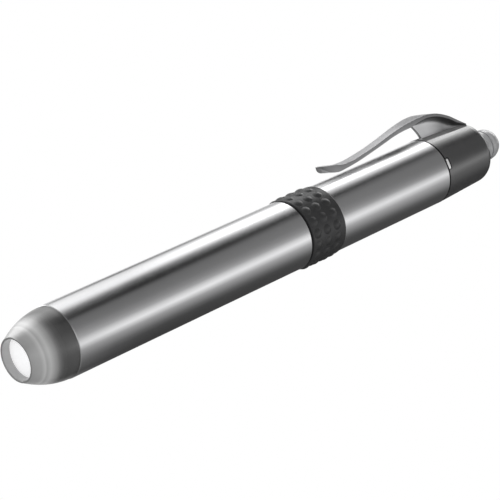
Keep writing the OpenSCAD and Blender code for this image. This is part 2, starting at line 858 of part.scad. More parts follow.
function saddle_half(root_share) =
  let (
    low_x = between(cap_front_x - touch_gap, clip_root_x, root_share),
    web_x = between(cap_front_x - web_setback, clip_root_x, root_share),
    top_x = between(flex_x, clip_root_x, root_share),
    foot_half = foot_w / 2,
    side_y = clip_half_w(top_x) - strip_edge(top_x),
    web_half = between(web_t / 2, side_y, pow(root_share, web_widen_power)),
    web_foot_z = foot_z(low_x, web_half) + fixed_gap,
    under_z = clip_under_z(top_x),
    web_h = under_z - web_foot_z,
    cove_share = between(1, cove_front_share, pow(1 - root_share, cove_grow_power)),
    cove_h = min(cove_r * cove_share, web_h * cove_height_share),
    cove_w = side_y - web_half
  )
    concat(
      [[low_x, foot_half, foot_floor_z + fixed_gap]],
      [
        for (share = [0, 0.3, 0.6, 1])
          let (y = between(foot_half, web_half, share))
            [low_x, y, foot_z(low_x, y)]
      ],
      [
        for (share = [0, 0.5])
          let (z = web_foot_z + (web_h - cove_h) * share)
            [between(web_x, top_x, pow((z - web_foot_z) / web_h, web_curve_power)), web_half, z]
      ],
      [
        for (a = [90 : -15 : 15])
          let (z = under_z - cove_h * (1 - cos(a)))
            [
              between(web_x, top_x, pow((z - web_foot_z) / web_h, web_curve_power)),
              web_half + cove_w * (1 - sin(a)),
              z
            ]
      ],
      strip_half(top_x)
    );

module clip_saddle() {
  steps = 24;
  color([0.62, 0.62, 0.63])
    mirrored_loft([for (i = [0 : steps]) saddle_half(1 - i / steps)]);
}

// Button and switch

module push_button() {
  groove_front_x = dome_x + button_groove_back;
  groove_rear_x = groove_front_x - button_groove_w;
  groove_r = button_r - button_groove_depth;
  color([0.8, 0.8, 0.8])
    turned()
      polygon(concat(
        [
          [0, button_front_x],
          [button_flange_r, button_front_x],
          [button_flange_r, button_flange_x],
          [button_r, button_flange_x],
          [button_r, groove_front_x],
          [groove_r, groove_front_x],
          [groove_r, groove_rear_x],
          [button_r, groove_rear_x]
        ],
        [for (i = [0 : 2 * arc_steps]) let (a = 45 * i / arc_steps) [button_r * cos(a), dome_x - button_r * sin(a)]]
      ));
}

module button_gasket() {
  color([0.08, 0.08, 0.08])
    pipe(button_pocket_r - fixed_gap, button_bore_r, pocket_rear_x, gasket_x);
}

module switch_body() {
  color([0.12, 0.12, 0.12])
    difference() {
      turned()
        polygon([
          [fixed_shank_d / 2 + fixed_gap, switch_front_x],
          [fixed_shank_d / 2 + fixed_gap, chamber_front_x],
          [chamber_d / 2, chamber_front_x],
          [chamber_d / 2, chamber_rear_x],
          [stem_d / 2 + running_gap, chamber_rear_x],
          [stem_d / 2 + running_gap, switch_rear_x],
          [switch_r, switch_rear_x],
          [switch_r, switch_front_x]
        ]);
      foot_pocket();
    }
}

module switch_retainer() {
  color([0.5, 0.5, 0.5])
    pipe(switch_r, retainer_inner_r, switch_front_x, switch_front_x + retainer_len);
}

module fixed_contact() {
  color([0.8, 0.65, 0.3])
    union() {
      rod(fixed_head_r, switch_front_x, switch_front_x + fixed_head_t);
      rod(fixed_shank_d / 2, chamber_front_x, switch_front_x);
      rod(fixed_tip_d / 2, fixed_tip_x, chamber_front_x);
    }
}

module battery_spring() {
  color([0.7, 0.7, 0.7])
    coil(2 * cell_spring_r, cell_spring_wire, cell_spring_turns,
      switch_front_x + fixed_head_t, cells_rear_x - touch_gap);
}

module switch_spring() {
  color([0.7, 0.7, 0.7])
    coil(return_spring_d, return_spring_wire, return_spring_turns,
      collar_front_x + touch_gap, chamber_front_x - touch_gap);
}

module switch_plunger() {
  color([0.7, 0.7, 0.68])
    union() {
      rod(stem_d / 2, button_front_x, collar_front_x);
      rod(collar_d / 2, collar_front_x - collar_t, collar_front_x);
      rod(tip_d / 2, collar_front_x, disc_front_x - disc_t);
    }
}

module contact_disc() {
  color([0.8, 0.65, 0.3])
    rod(disc_d / 2, disc_front_x - disc_t, disc_front_x);
}

nose_housing();
front_lens();
reflector();
led_emitter();
led_board();
led_holder();
front_contact();
nose_o_ring();
front_barrel();
front_liner();
front_insert();
battery_front();
battery_rear();
barrel_coupler();
joint_o_ring();
grip_ring();
rear_barrel();
rear_liner();
ground_ring();
tail_cap();
clip_saddle();
pocket_clip();
push_button();
button_gasket();
switch_body();
switch_retainer();
fixed_contact();
battery_spring();
switch_spring();
switch_plunger();
contact_disc();
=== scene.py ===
import json
import math
import bpy
import bmesh
from mathutils import Matrix, Vector


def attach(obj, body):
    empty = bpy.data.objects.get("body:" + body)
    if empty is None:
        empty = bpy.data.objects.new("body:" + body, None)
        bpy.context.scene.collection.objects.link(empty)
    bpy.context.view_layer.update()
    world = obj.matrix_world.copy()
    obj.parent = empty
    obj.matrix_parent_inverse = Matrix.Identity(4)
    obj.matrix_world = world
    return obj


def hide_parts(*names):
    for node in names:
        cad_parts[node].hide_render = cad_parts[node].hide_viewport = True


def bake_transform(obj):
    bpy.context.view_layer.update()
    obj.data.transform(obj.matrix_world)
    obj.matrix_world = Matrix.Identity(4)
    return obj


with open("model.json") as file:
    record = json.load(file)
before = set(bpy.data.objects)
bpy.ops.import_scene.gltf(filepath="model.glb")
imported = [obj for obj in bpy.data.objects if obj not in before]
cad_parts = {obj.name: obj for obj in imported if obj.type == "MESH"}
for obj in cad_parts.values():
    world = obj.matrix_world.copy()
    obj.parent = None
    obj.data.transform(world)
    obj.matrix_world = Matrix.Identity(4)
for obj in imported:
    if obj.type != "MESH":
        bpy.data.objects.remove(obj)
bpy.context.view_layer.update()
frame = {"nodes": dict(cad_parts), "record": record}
mm = 0.001
print("penlight: frame loaded with", len(frame["nodes"]), "CAD nodes")

# The photo's viewpoint: a long lens, from the nose's left, rolled about 15 degrees
photoView = {
    "place": (0.22147, 0.28210, 0.07608),
    "right": (-0.70083, 0.66689, -0.25318),
    "up": (-0.32168, 0.02132, 0.94661),
    "back": (0.63668, 0.74485, 0.19958),
    "lens": 141.92,
}


def placeCamera(view):
    data = bpy.data.cameras.new("photoCamera")
    data.lens = view["lens"]
    data.sensor_width = 36
    data.clip_start = 0.01
    camera = bpy.data.objects.new("photoCamera", data)
    axes = [Vector(view[name]).normalized() for name in ("right", "up", "back")]
    camera.matrix_world = Matrix.Translation(view["place"]) @ Matrix(axes).transposed().to_4x4()
    bpy.context.scene.collection.objects.link(camera)
    bpy.context.scene.camera = camera


placeCamera(photoView)
bpy.context.scene.view_settings.view_transform = "Standard"
print("penlight: camera placed")


# Meshes

def addPiece(name, verts, faces, sharp=None):
    mesh = bpy.data.meshes.new(name)
    mesh.from_pydata(verts, [], faces)
    work = bmesh.new()
    work.from_mesh(mesh)
    bmesh.ops.remove_doubles(work, verts=work.verts, dist=1e-7)
    bmesh.ops.recalc_face_normals(work, faces=work.faces)
    for face in work.faces:
        face.smooth = True
    if sharp:
        for edge in work.edges:
            if len(edge.link_faces) == 2 and edge.calc_face_angle() > math.radians(sharp):
                edge.smooth = False
    work.to_mesh(mesh)
    work.free()
    piece = bpy.data.objects.new(name, mesh)
    bpy.context.scene.collection.objects.link(piece)
    return piece


def loftFaces(rings, sides):
    faces = []
    for i in range(rings - 1):
        for k in range(sides):
            a, b = i * sides + k, i * sides + (k + 1) % sides
            faces.append((a, b, b + sides, a + sides))
    faces.append(tuple(range(sides)))
    faces.append(tuple(range((rings - 1) * sides, rings * sides)))
    return faces


# A closed outline of (radius, x) in millimetres, turned round the penlight's axis
def turnedPiece(name, outline, segments=160, sharp=35):
    verts = []
    for s in range(segments):
        a = 2 * math.pi * s / segments
        for r, x in outline:
            verts.append((x * mm, r * mm * math.sin(a), r * mm * math.cos(a)))
    count = len(outline)
    faces = []
    for s in range(segments):
        for k in range(count):
            a, b = s * count + k, s * count + (k + 1) % count
            t = (s + 1) % segments
            faces.append((a, b, t * count + (k + 1) % count, t * count + k))
    return addPiece(name, verts, faces, sharp)


# Materials. Every finish is a Principled shader with grain, mottling and gloss that vary in the solid's own space.
# Some finishes also carry painted light and shade, by place along the penlight and by which way a face turns.

# The noise values that the gloss runs between, and how much finer its smears are than the mottling
glossSpan = (0.3, 0.7)
smearFiner = 2.3


def node(tree, kind, **values):
    made = tree.nodes.new(kind)
    for key, value in values.items():
        setattr(made, key, value)
    return made


def noiseAt(tree, space, scale, stretch, detail=3.0):
    mapping = node(tree, "ShaderNodeMapping")
    mapping.inputs["Scale"].default_value = stretch
    tree.links.new(space.outputs["Object"], mapping.inputs["Vector"])
    noise = node(tree, "ShaderNodeTexNoise")
    noise.inputs["Scale"].default_value = scale
    noise.inputs["Detail"].default_value = detail
    tree.links.new(mapping.outputs["Vector"], noise.inputs["Vector"])
    return noise


def withPaintedShade(tree, shown, shade):
    mix = node(tree, "ShaderNodeMix", data_type="RGBA", blend_type="MULTIPLY")
    mix.inputs[0].default_value = 1
    tree.links.new(shown, mix.inputs[6])
    tree.links.new(shade, mix.inputs[7])
    return mix.outputs[2]


def makeFinish(name, look):
    material = bpy.data.materials.new(name)
    material.use_nodes = True
    tree = material.node_tree
    shader = tree.nodes["Principled BSDF"]
    space = node(tree, "ShaderNodeTexCoord")
    stretch = look.get("stretch", (1, 1, 1))

    mottle = noiseAt(tree, space, look["mottle"], stretch)
    blend = node(tree, "ShaderNodeMix", data_type="RGBA")
    blend.inputs[6].default_value = (*look["color"], 1)
    blend.inputs[7].default_value = (*look["shade"], 1)
    tree.links.new(mottle.outputs["Fac"], blend.inputs[0])
    shown = blend.outputs[2]
    if "paintedShadingAlong" in look:
        # painted light and shade by the place along the penlight, in millimetres
        split = node(tree, "ShaderNodeSeparateXYZ")
        tree.links.new(space.outputs["Object"], split.inputs[0])
        low, high = look["paintedShadingAlong"][0][0], look["paintedShadingAlong"][-1][0]
        place = node(tree, "ShaderNodeMapRange")
        place.inputs["From Min"].default_value = low * mm
        place.inputs["From Max"].default_value = high * mm
        tree.links.new(split.outputs["X"], place.inputs["Value"])
        ramp = node(tree, "ShaderNodeValToRGB")
        for i, (x, shade) in enumerate(look["paintedShadingAlong"]):
            share = (x - low) / (high - low)
            stop = ramp.color_ramp.elements[i] if i < 2 else ramp.color_ramp.elements.new(share)
            stop.position = share
            stop.color = (shade, shade, shade, 1)
        tree.links.new(place.outputs["Result"], ramp.inputs["Fac"])
        shown = withPaintedShade(tree, shown, ramp.outputs["Color"])
    for axis, low, high, shadeLow, shadeHigh in look.get("faces", []):
        # painted shade: faces are darker or lighter by how far they turn to an axis
        split = node(tree, "ShaderNodeSeparateXYZ")
        tree.links.new(space.outputs["Normal"], split.inputs[0])
        turn = node(tree, "ShaderNodeMath", operation="ABSOLUTE")
        tree.links.new(split.outputs[axis], turn.inputs[0])
        facingShade = node(tree, "ShaderNodeMapRange")
        facingShade.inputs["From Min"].default_value = low
        facingShade.inputs["From Max"].default_value = high
        facingShade.inputs["To Min"].default_value = shadeLow
        facingShade.inputs["To Max"].default_value = shadeHigh
        tree.links.new(turn.outputs[0], facingShade.inputs["Value"])
        shown = withPaintedShade(tree, shown, facingShade.outputs["Result"])
    tree.links.new(shown, shader.inputs["Base Color"])

    gloss = node(tree, "ShaderNodeMapRange")
    gloss.inputs["From Min"].default_value = glossSpan[0]
    gloss.inputs["From Max"].default_value = glossSpan[1]
    gloss.inputs["To Min"].default_value = look["rough"][0]
    gloss.inputs["To Max"].default_value = look["rough"][1]
    smear = noiseAt(tree, space, look["mottle"] * smearFiner, stretch)
    tree.links.new(smear.outputs["Fac"], gloss.inputs["Value"])
    tree.links.new(gloss.outputs["Result"], shader.inputs["Roughness"])

    grain = noiseAt(tree, space, look["grain"], look.get("grainStretch", stretch), 2.0)
    bump = node(tree, "ShaderNodeBump")
    bump.inputs["Strength"].default_value = look["bump"]
    bump.inputs["Distance"].default_value = look.get("depth", 0.02) * mm
    tree.links.new(grain.outputs["Fac"], bump.inputs["Height"])
    tree.links.new(bump.outputs["Normal"], shader.inputs["Normal"])

    if "turned" in look:
        # brushed round the penlight's axis
        lay = node(tree, "ShaderNodeTangent", direction_type="RADIAL", axis="X")
        tree.links.new(lay.outputs["Tangent"], shader.inputs["Tangent"])
        shader.inputs["Anisotropic Rotation"].default_value = look["turned"]
    for socket, value in look.get("set", {}).items():
        shader.inputs[socket].default_value = value
    return material


finishes = {
    "satin_steel": {
        "color": (0.80, 0.80, 0.81), "shade": (0.74, 0.74, 0.75), "mottle": 45, "rough": (0.15, 0.19),
        "grain": 9000, "grainStretch": (1, 0.03, 0.03), "bump": 0.05, "depth": 0.004,
        "turned": 0.25, "set": {"Metallic": 1.0, "Anisotropic": 0.88},
    },
    # painted shade: the clip's sides and ends are darker, and it is darker towards its root
    "clip_metal": {
        "color": (0.58, 0.58, 0.59), "shade": (0.53, 0.53, 0.54), "mottle": 90, "rough": (0.36, 0.42),
        "faces": [("Z", 0.6, 0.93, 0.62, 1), ("X", 0.5, 0.9, 1, 0.45)],
        "paintedShadingAlong": [(-85, 0.72), (-75, 0.72), (-70, 0.86), (-66, 1), (-42, 1)],
        "grain": 7000, "grainStretch": (0.04, 1, 1), "bump": 0.04, "depth": 0.003, "set": {"Metallic": 0.8},
    },
    # painted shade: the web's ends and its upward-facing foot are darker, and it is darker towards its root
    "web_metal": {
        "color": (0.86, 0.86, 0.87), "shade": (0.76, 0.76, 0.77), "mottle": 300, "rough": (0.34, 0.42),
        "faces": [("X", 0.25, 0.7, 1, 0.5), ("Z", 0.35, 0.9, 1, 0.11)],
        "paintedShadingAlong": [(-85, 0.4), (-79.5, 0.45), (-77.5, 0.75), (-75, 1), (-70, 1)],
        "grain": 6000, "bump": 0.1, "depth": 0.005,
        "set": {"Metallic": 0.7, "Specular IOR Level": 0.2, "Specular Tint": (0.7, 0.7, 0.7, 1)},
    },
    # painted light and shade along the nose: a dark rear, a brighter front and light and dark rings; the rings also
    # stand for inner rings seen through the smoked wall
    "smoked_plastic": {
        "color": (1.0, 1.0, 1.0), "shade": (0.93, 0.93, 0.93), "mottle": 420, "rough": (0.08, 0.14),
        "paintedShadingAlong": [
            (22, 0.045), (32.2, 0.047), (33.0, 0.07), (33.4, 0.11), (33.8, 0.18), (34.2, 0.30), (34.6, 0.38),
            (35.0, 0.49), (35.3, 0.56), (35.65, 0.51), (35.95, 0.44), (36.3, 0.58), (36.6, 0.50), (36.9, 0.43),
            (37.4, 0.41), (38.3, 0.37), (38.48, 0.25),
        ],
        "grain": 2500, "bump": 0.05, "depth": 0.01,
        "set": {"IOR": 1.72, "Specular IOR Level": 0.9},
    },
    "lit_lens": {
        "color": (0.95, 0.95, 0.96), "shade": (0.9, 0.9, 0.92), "mottle": 200, "rough": (0.05, 0.08),
        "grain": 3000, "bump": 0.02,
        "set": {"Emission Color": (1, 1, 1, 1), "Emission Strength": 0.42, "IOR": 1.49},
    },
    "bright_metal": {
        "color": (0.88, 0.88, 0.89), "shade": (0.84, 0.84, 0.85), "mottle": 150, "rough": (0.06, 0.1),
        "grain": 4000, "bump": 0.03, "depth": 0.004, "set": {"Metallic": 1.0},
    },
    "led_body": {
        "color": (0.93, 0.9, 0.72), "shade": (0.95, 0.93, 0.8), "mottle": 400, "rough": (0.1, 0.15),
        "grain": 5000, "bump": 0.03,
        "set": {"Emission Color": (1, 0.98, 0.92, 1), "Emission Strength": 0.9, "IOR": 1.53},
    },
    "circuit_board": {
        "color": (0.02, 0.12, 0.05), "shade": (0.03, 0.16, 0.07), "mottle": 500, "rough": (0.25, 0.4),
        "grain": 3500, "bump": 0.15, "depth": 0.02, "set": {"Coat Weight": 0.3},
    },
    "black_plastic": {
        "color": (0.022, 0.022, 0.023), "shade": (0.03, 0.03, 0.031), "mottle": 300, "rough": (0.4, 0.52),
        "grain": 6000, "bump": 0.2, "depth": 0.01,
    },
    "contact_brass": {
        "color": (0.80, 0.62, 0.32), "shade": (0.74, 0.55, 0.27), "mottle": 180, "rough": (0.18, 0.28),
        "grain": 5000, "grainStretch": (1, 0.05, 0.05), "bump": 0.06, "depth": 0.005, "set": {"Metallic": 1.0},
    },
    "seal_rubber": {
        "color": (0.018, 0.018, 0.018), "shade": (0.026, 0.026, 0.026), "mottle": 500, "rough": (0.5, 0.62),
        "grain": 7000, "bump": 0.25, "depth": 0.01,
    },
    "polished_tab": {
        "color": (0.97, 0.97, 0.97), "shade": (0.93, 0.93, 0.93), "mottle": 200, "rough": (0.25, 0.32),
        "grain": 4000, "bump": 0.04, "depth": 0.004, "set": {"Metallic": 0.35},
    },
    "joint_shadow": {
        "color": (0.006, 0.006, 0.006), "shade": (0.01, 0.01, 0.01), "mottle": 500, "rough": (0.7, 0.85),
        "grain": 7000, "bump": 0.2, "depth": 0.006, "set": {"Specular IOR Level": 0.1},
    },
    "liner_plastic": {
        "color": (0.75, 0.75, 0.72), "shade": (0.68, 0.68, 0.65), "mottle": 150, "rough": (0.35, 0.45),
        "grain": 4000, "bump": 0.1, "depth": 0.01,
    },
    "cell_sleeve": {
        "color": (0.05, 0.09, 0.16), "shade": (0.06, 0.11, 0.19), "mottle": 120, "rough": (0.22, 0.32),
        "grain": 4000, "bump": 0.06, "depth": 0.01, "set": {"Coat Weight": 0.4, "Coat Roughness": 0.1},
    },
    "dark_metal": {
        "color": (0.30, 0.30, 0.31), "shade": (0.24, 0.24, 0.25), "mottle": 160, "rough": (0.2, 0.3),
        "grain": 7000, "grainStretch": (1, 0.04, 0.04), "bump": 0.08, "depth": 0.005, "set": {"Metallic": 1.0},
    },
    "grip_rubber": {
        "color": (0.026, 0.026, 0.027), "shade": (0.036, 0.036, 0.037), "mottle": 260, "rough": (0.3, 0.42),
        "grain": 8000, "bump": 0.2, "depth": 0.008, "set": {"Specular IOR Level": 0.5},
    },
    "cap_plastic": {
        "color": (0.030, 0.030, 0.031), "shade": (0.040, 0.040, 0.041), "mottle": 200, "rough": (0.17, 0.23),
        "grain": 5000, "bump": 0.08, "depth": 0.006, "set": {"IOR": 1.8, "Specular IOR Level": 1.0},
    },
    "frosted_plastic": {
        "color": (0.52, 0.52, 0.53), "shade": (0.20, 0.20, 0.205), "mottle": 1300, "rough": (0.14, 0.24),
        "stretch": (1, 0.3, 0.3), "grain": 4500, "bump": 0.3, "depth": 0.02, "set": {"IOR": 1.7},
    },
    "spring_steel": {
        "color": (0.72, 0.72, 0.73), "shade": (0.64, 0.64, 0.65), "mottle": 300, "rough": (0.15, 0.25),
        "grain": 5000, "bump": 0.05, "depth": 0.004, "set": {"Metallic": 1.0},
    },
    "plunger_plastic": {
        "color": (0.7, 0.7, 0.66), "shade": (0.62, 0.62, 0.58), "mottle": 250, "rough": (0.3, 0.4),
        "grain": 4500, "bump": 0.1, "depth": 0.01,
    },
}

materials = {slot: makeFinish(slot + "Finish", look) for slot, look in finishes.items()}
slotOf = {part["node"]: part["material_slot"] for part in frame["record"]["subparts"]}


def dress(piece, slot):
    piece.data.materials.clear()
    piece.data.materials.append(materials[slot])


for name, solid in frame["nodes"].items():
    dress(solid, slotOf[name])
print("penlight: finishes on", len(frame["nodes"]), "nodes")

# Pocket clip and saddle: one smooth moulding in place of the two solids. The rows give a station, the heights of
# the strip's top and underside as shares of its rise, and its width as a share. Station -1 is the root, 0 the flex
# line and 1 the tip.
clip = {
    "rows": [
        (-1.00, -0.085, -0.105, 1.00), (-0.85, 0.235, 0.10, 0.98), (-0.70, 0.555, 0.41, 0.95),
        (-0.50, 0.84, 0.70, 0.92), (-0.30, 0.974, 0.82, 0.89), (-0.12, 0.981, 0.785, 0.87),
        (0.00, 0.955, 0.712, 0.79), (0.10, 0.893, 0.68, 0.68), (0.20, 0.80, 0.617, 0.60),
        (0.30, 0.694, 0.523, 0.585), (0.45, 0.55, 0.392, 0.595), (0.60, 0.446, 0.279, 0.635),
        (0.70, 0.403, 0.228, 0.69), (0.80, 0.43, 0.207, 0.80), (0.88, 0.55, 0.205, 0.91),
        (0.95, 0.68, 0.285, 0.96), (1.00, 0.80, 0.49, 0.98),
    ],
    "rootX": -84.8, "flexX": -69.3, "armLen": 27.15, "tipLen": 5.0, "tipThin": 1.2, "tipAngle": 88,
    "rise": 4.85, "width": 4.9, "edge": 0.09, "crown": 0.03, "rings": 150, "tipRings": 18, "sharp": 50,
    # where the strip's bend starts and ends: millimetres from the flex line, and its height in metres
    "bendX": (-1.0, 7.0), "bendZ": (0.011, 0.010),
    "webThick": 0.7, "webSetback": 1.25, "webTopSetback": 1.15, "webCurve": 1.3, "webWiden": 5,
    "webRings": 60, "webInset": 0.05, "webBevel": 0.12,
    # the web's top edge sinks this far into the strip: across, and as a share of the strip's thickness
    "sinkIn": 0.02, "sinkUp": 0.3,
    "coveR": 1.8, "coveGrow": 6, "coveFront": 0.25, "coveTop": 0.85, "coveSteps": 12,
    "footWidth": 4.9, "footProud": 0.06, "footFloor": 5.98, "footLift": 0.03,
    "capFrontX": -71.5, "capTaper": 0.52, "capTaperLen": 13.18,
    "tubeR": 7.0,
}


def stationX(station):
    span = clip["flexX"] - clip["rootX"] if station < 0 else clip["armLen"]
    return clip["flexX"] + station * span


def clipShare(x, column):
    rows = clip["rows"]
    places = [stationX(row[0]) for row in rows]
    i = max(0, min(len(rows) - 2, sum(1 for p in places[1:-1] if x >= p)))

    def slope(k):
        low, high = max(k - 1, 0), min(k + 1, len(rows) - 1)
        return (rows[high][column] - rows[low][column]) / (places[high] - places[low])

    span = places[i + 1] - places[i]
    u = (x - places[i]) / span
    rise = rows[i + 1][column] - rows[i][column]
    startRise, endRise = slope(i) * span, slope(i + 1) * span
    return (rows[i][column] + startRise * u + (3 * rise - 2 * startRise - endRise) * u * u
            + (startRise + endRise - 2 * rise) * u ** 3)


def stripSizes(x):
    tipX = clip["flexX"] + clip["armLen"]
    into = max(0.0, (x - tipX + clip["tipLen"]) / clip["tipLen"])
    drawn = math.sqrt(max(0.0, 1 - into * into))
    topShare, underShare = clipShare(x, 1), clipShare(x, 2)
    middle = clip["tubeR"] + clip["rise"] * (topShare + underShare) / 2
    halfT = clip["rise"] * (topShare - underShare) / 2 * drawn ** clip["tipThin"]
    top, under = middle + halfT, middle - halfT
    half = clip["width"] / 2 * clipShare(x, 3) * drawn
    edge = min(clip["edge"], (top - under) / 4, half / 3)
    return top, under, half - edge, edge


def stripHalf(x):
    top, under, sideY, edge = stripSizes(x)
    crown = min(clip["crown"], edge)
    highZ, lowZ = top - crown - edge, under + edge
    points = []
    for a in (90, 68, 45, 22, 0):
        a = math.radians(a)
        points.append((x, sideY + edge * math.cos(a), lowZ - edge * math.sin(a)))
    for a in (0, 18, 36, 54, 72, 90):
        a = math.radians(a)
        points.append((x, sideY + edge * math.cos(a), highZ + edge * math.sin(a)))
    for share in (0.85, 0.65, 0.45, 0.22):
        points.append((x, sideY * share, top - crown * share * share))
    return points


def loftHalves(name, halves, sharp=None):
    verts = []
    for half in halves:
        ring = [(x, -y, z) for x, y, z in half] + [(x, y, z) for x, y, z in reversed(half)]
        verts.extend((x * mm, y * mm, z * mm) for x, y, z in ring)
    return addPiece(name, verts, loftFaces(len(halves), 2 * len(halves[0])), sharp)


def makeClipStrip():
    tipX = clip["flexX"] + clip["armLen"]
    tipStart = tipX - clip["tipLen"]
    count, tipCount = clip["rings"], clip["tipRings"]
    places = [clip["rootX"] + (tipStart - clip["rootX"]) * i / count for i in range(count)]
    for i in range(tipCount + 1):
        places.append(tipStart + clip["tipLen"] * math.sin(math.radians(clip["tipAngle"] * i / tipCount)))
    strip = loftHalves("clipStrip", [stripHalf(x) for x in places], clip["sharp"])
    dress(strip, "clip_metal")
    # the photo's soft light hides the clip's mirror image in the barrel, apart from a grey line that the studio's
    # card gives
    strip.visible_glossy = False
    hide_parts("pocket_clip", "clip_saddle")
    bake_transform(strip)


def between(low, high, share):
    return low + (high - low) * share


def footZ(x, y):
    radius = clip["tubeR"] - clip["capTaper"] * max(0.0, clip["capFrontX"] - x) / clip["capTaperLen"]
    return math.sqrt(radius * radius - y * y) + clip["footProud"]


def webHalf(share):
    lowX = between(clip["capFrontX"] - clip["webInset"], clip["rootX"], share)
    webX = between(clip["capFrontX"] - clip["webSetback"], clip["rootX"], share)
    topX = between(clip["flexX"] - clip["webTopSetback"], clip["rootX"], share)
    top, under, sideY, _ = stripSizes(topX)
    footHalf = clip["footWidth"] / 2
    web = between(clip["webThick"] / 2, sideY, share ** clip["webWiden"])
    webFoot = footZ(lowX, web) + clip["footLift"]
    rise = under - webFoot
    coveShare = between(1, clip["coveFront"], (1 - share) ** clip["coveGrow"])
    coveH = min(clip["coveR"] * coveShare, rise * clip["coveTop"])
    points = [(lowX, footHalf, clip["footFloor"] + clip["footLift"])]
    for part in (0, 0.15, 0.3, 0.45, 0.6, 0.8, 1):
        y = between(footHalf, web, part)
        points.append((lowX, y, footZ(lowX, y)))

    def leaned(z):
        return between(webX, topX, max(0.0, (z - webFoot) / rise) ** clip["webCurve"])

    for part in (0, 0.25, 0.5, 0.75):
        z = webFoot + (rise - coveH) * part
        points.append((leaned(z), web, z))
    for step in range(clip["coveSteps"] + 1):
        a = math.radians(90 - step * 90 / clip["coveSteps"])
        z = under - coveH * (1 - math.cos(a))
        points.append((leaned(z), web + (sideY - web) * (1 - math.sin(a)), z))
    points.append((topX, sideY - clip["sinkIn"], under + clip["sinkUp"] * (top - under)))
    return points


def makeClipWeb():
    count = clip["webRings"]
    web = loftHalves("clipWeb", [webHalf(1 - i / count) for i in range(count + 1)], clip["sharp"])
    bevel = web.modifiers.new("softEdges", "BEVEL")
    bevel.width = clip["webBevel"] * mm
    bevel.segments = 3
    bevel.limit_method = "ANGLE"
    bevel.angle_limit = math.radians(clip["sharp"])
    dress(web, "web_metal")
    web.visible_glossy = False
    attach(web, "rear_half")


makeClipStrip()
makeClipWeb()
print("penlight: clip moulded")

# Grip ring: a rubber band with rounded edges and three rows of soft domes
ring = {
    "frontX": -30.0, "rearX": -39.2, "bandR": 7.18, "seatR": 6.33, "bevel": 0.25, "bevelSteps": 6,
    "domeD": 2.0, "domeH": 0.28, "pitch": 2.75, "rows": 3, "count": 18, "firstAngle": 12, "rowX": -31.3,
    # circles of points on a dome, as shares of its radius, and the heights of the skirt beyond its edge
    "circles": [0, 0.12, 0.25, 0.38, 0.5, 0.62, 0.73, 0.83, 0.91, 0.97, 1.02, 1.07], "around": 28,
    "skirt": {1.02: 0.006, 1.07: -0.03},
}


def makeGripRing():
    r, bevel = ring["bandR"], ring["bevel"]
    outline = [(ring["seatR"], ring["rearX"])]
    turns = [math.radians(90 * i / ring["bevelSteps"]) for i in range(ring["bevelSteps"] + 1)]
    for a in turns:
        outline.append((r - bevel + bevel * math.sin(a), ring["rearX"] + bevel - bevel * math.cos(a)))
    for a in turns:
        outline.append((r - bevel + bevel * math.cos(a), ring["frontX"] - bevel + bevel * math.sin(a)))
    outline.append((ring["seatR"], ring["frontX"]))
    band = turnedPiece("gripBand", outline)
    dress(band, "grip_rubber")
    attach(band, "rear_half")
    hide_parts("grip_ring")

    ballR = ((ring["domeD"] / 2) ** 2 + ring["domeH"] ** 2) / (2 * ring["domeH"])
    verts, faces = [], []
    around = ring["around"]
    for row in range(ring["rows"]):
        for i in range(ring["count"]):
            turn = math.radians(ring["firstAngle"] + 360 * i / ring["count"])
            start = len(verts)
            for step, share in enumerate(ring["circles"]):
                out = share * ring["domeD"] / 2
                if share in ring["skirt"]:
                    height = ring["skirt"][share]
                else:
                    height = math.sqrt(ballR ** 2 - out ** 2) - (ballR - ring["domeH"])
                for k in range(around):
                    a = 2 * math.pi * k / around
                    x = ring["rowX"] - row * ring["pitch"] + out * math.cos(a)
                    angle = turn + out * math.sin(a) / r
                    verts.append((x * mm, (r + height) * mm * math.sin(angle), (r + height) * mm * math.cos(angle)))
                if step:
                    for k in range(around):
                        low = start + (step - 1) * around
                        faces.append((low + k, low + (k + 1) % around,
                                      low + around + (k + 1) % around, low + around + k))
    domes = addPiece("gripDomes", verts, faces)
    dress(domes, "grip_rubber")
    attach(domes, "rear_half")


makeGripRing()
print("penlight: grip ring moulded")

# The rear barrel's key tab has a pale, slightly pillowed face in a slot whose floor is painted shadow. A thin line
# of painted shadow closes the joint and steps forward round the tab. The pillow is the powers that its height falls
# off with, along and across.
keyTab = {"angle": 79, "x": (-72.36, -71.44), "width": 2.1, "r": 6.89, "rise": 0.125, "pillow": (6, 4)}
keySlot = {"x": (-72.58, -71.5), "width": 2.5, "r": 6.78}
tabLine = {"x": (-71.46, -71.26), "width": 2.5, "r": 7.006}
jointLine = {"x": (-71.66, -71.4), "r": 7.004, "innerR": 6.9}


def curvedPatch(name, span, width, r, rise):
    count = 12
    middle = math.radians(keyTab["angle"])
    along, across = keyTab["pillow"]
    verts, faces = [], []
    for i in range(count + 1):
        u = 2 * i / count - 1
        for k in range(count + 1):
            v = 2 * k / count - 1
            x = between(span[0], span[1], (u + 1) / 2)
            high = r + rise * (1 - u ** along) * (1 - v ** across)
            a = middle + v * width / 2 / r
            verts.append((x * mm, high * mm * math.sin(a), high * mm * math.cos(a)))
    for i in range(count):
        for k in range(count):
            low = i * (count + 1) + k
            faces.append((low, low + 1, low + count + 2, low + count + 1))
    return addPiece(name, verts, faces)


def makeJoint():
    face = curvedPatch("keyTabFace", keyTab["x"], keyTab["width"], keyTab["r"], keyTab["rise"])
    dress(face, "polished_tab")
    floor = curvedPatch("keySlotFloor", keySlot["x"], keySlot["width"], keySlot["r"], 0)
    step = curvedPatch("jointLineStep", tabLine["x"], tabLine["width"], tabLine["r"], 0)
    low, high = jointLine["x"]
    line = turnedPiece("jointLine", [(jointLine["innerR"], low), (jointLine["r"], low), (jointLine["r"], high),
                                     (jointLine["innerR"], high)])
    for piece in (floor, step, line):
        dress(piece, "joint_shadow")
    for piece in (face, floor, step, line):
        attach(piece, "rear_half")


makeJoint()

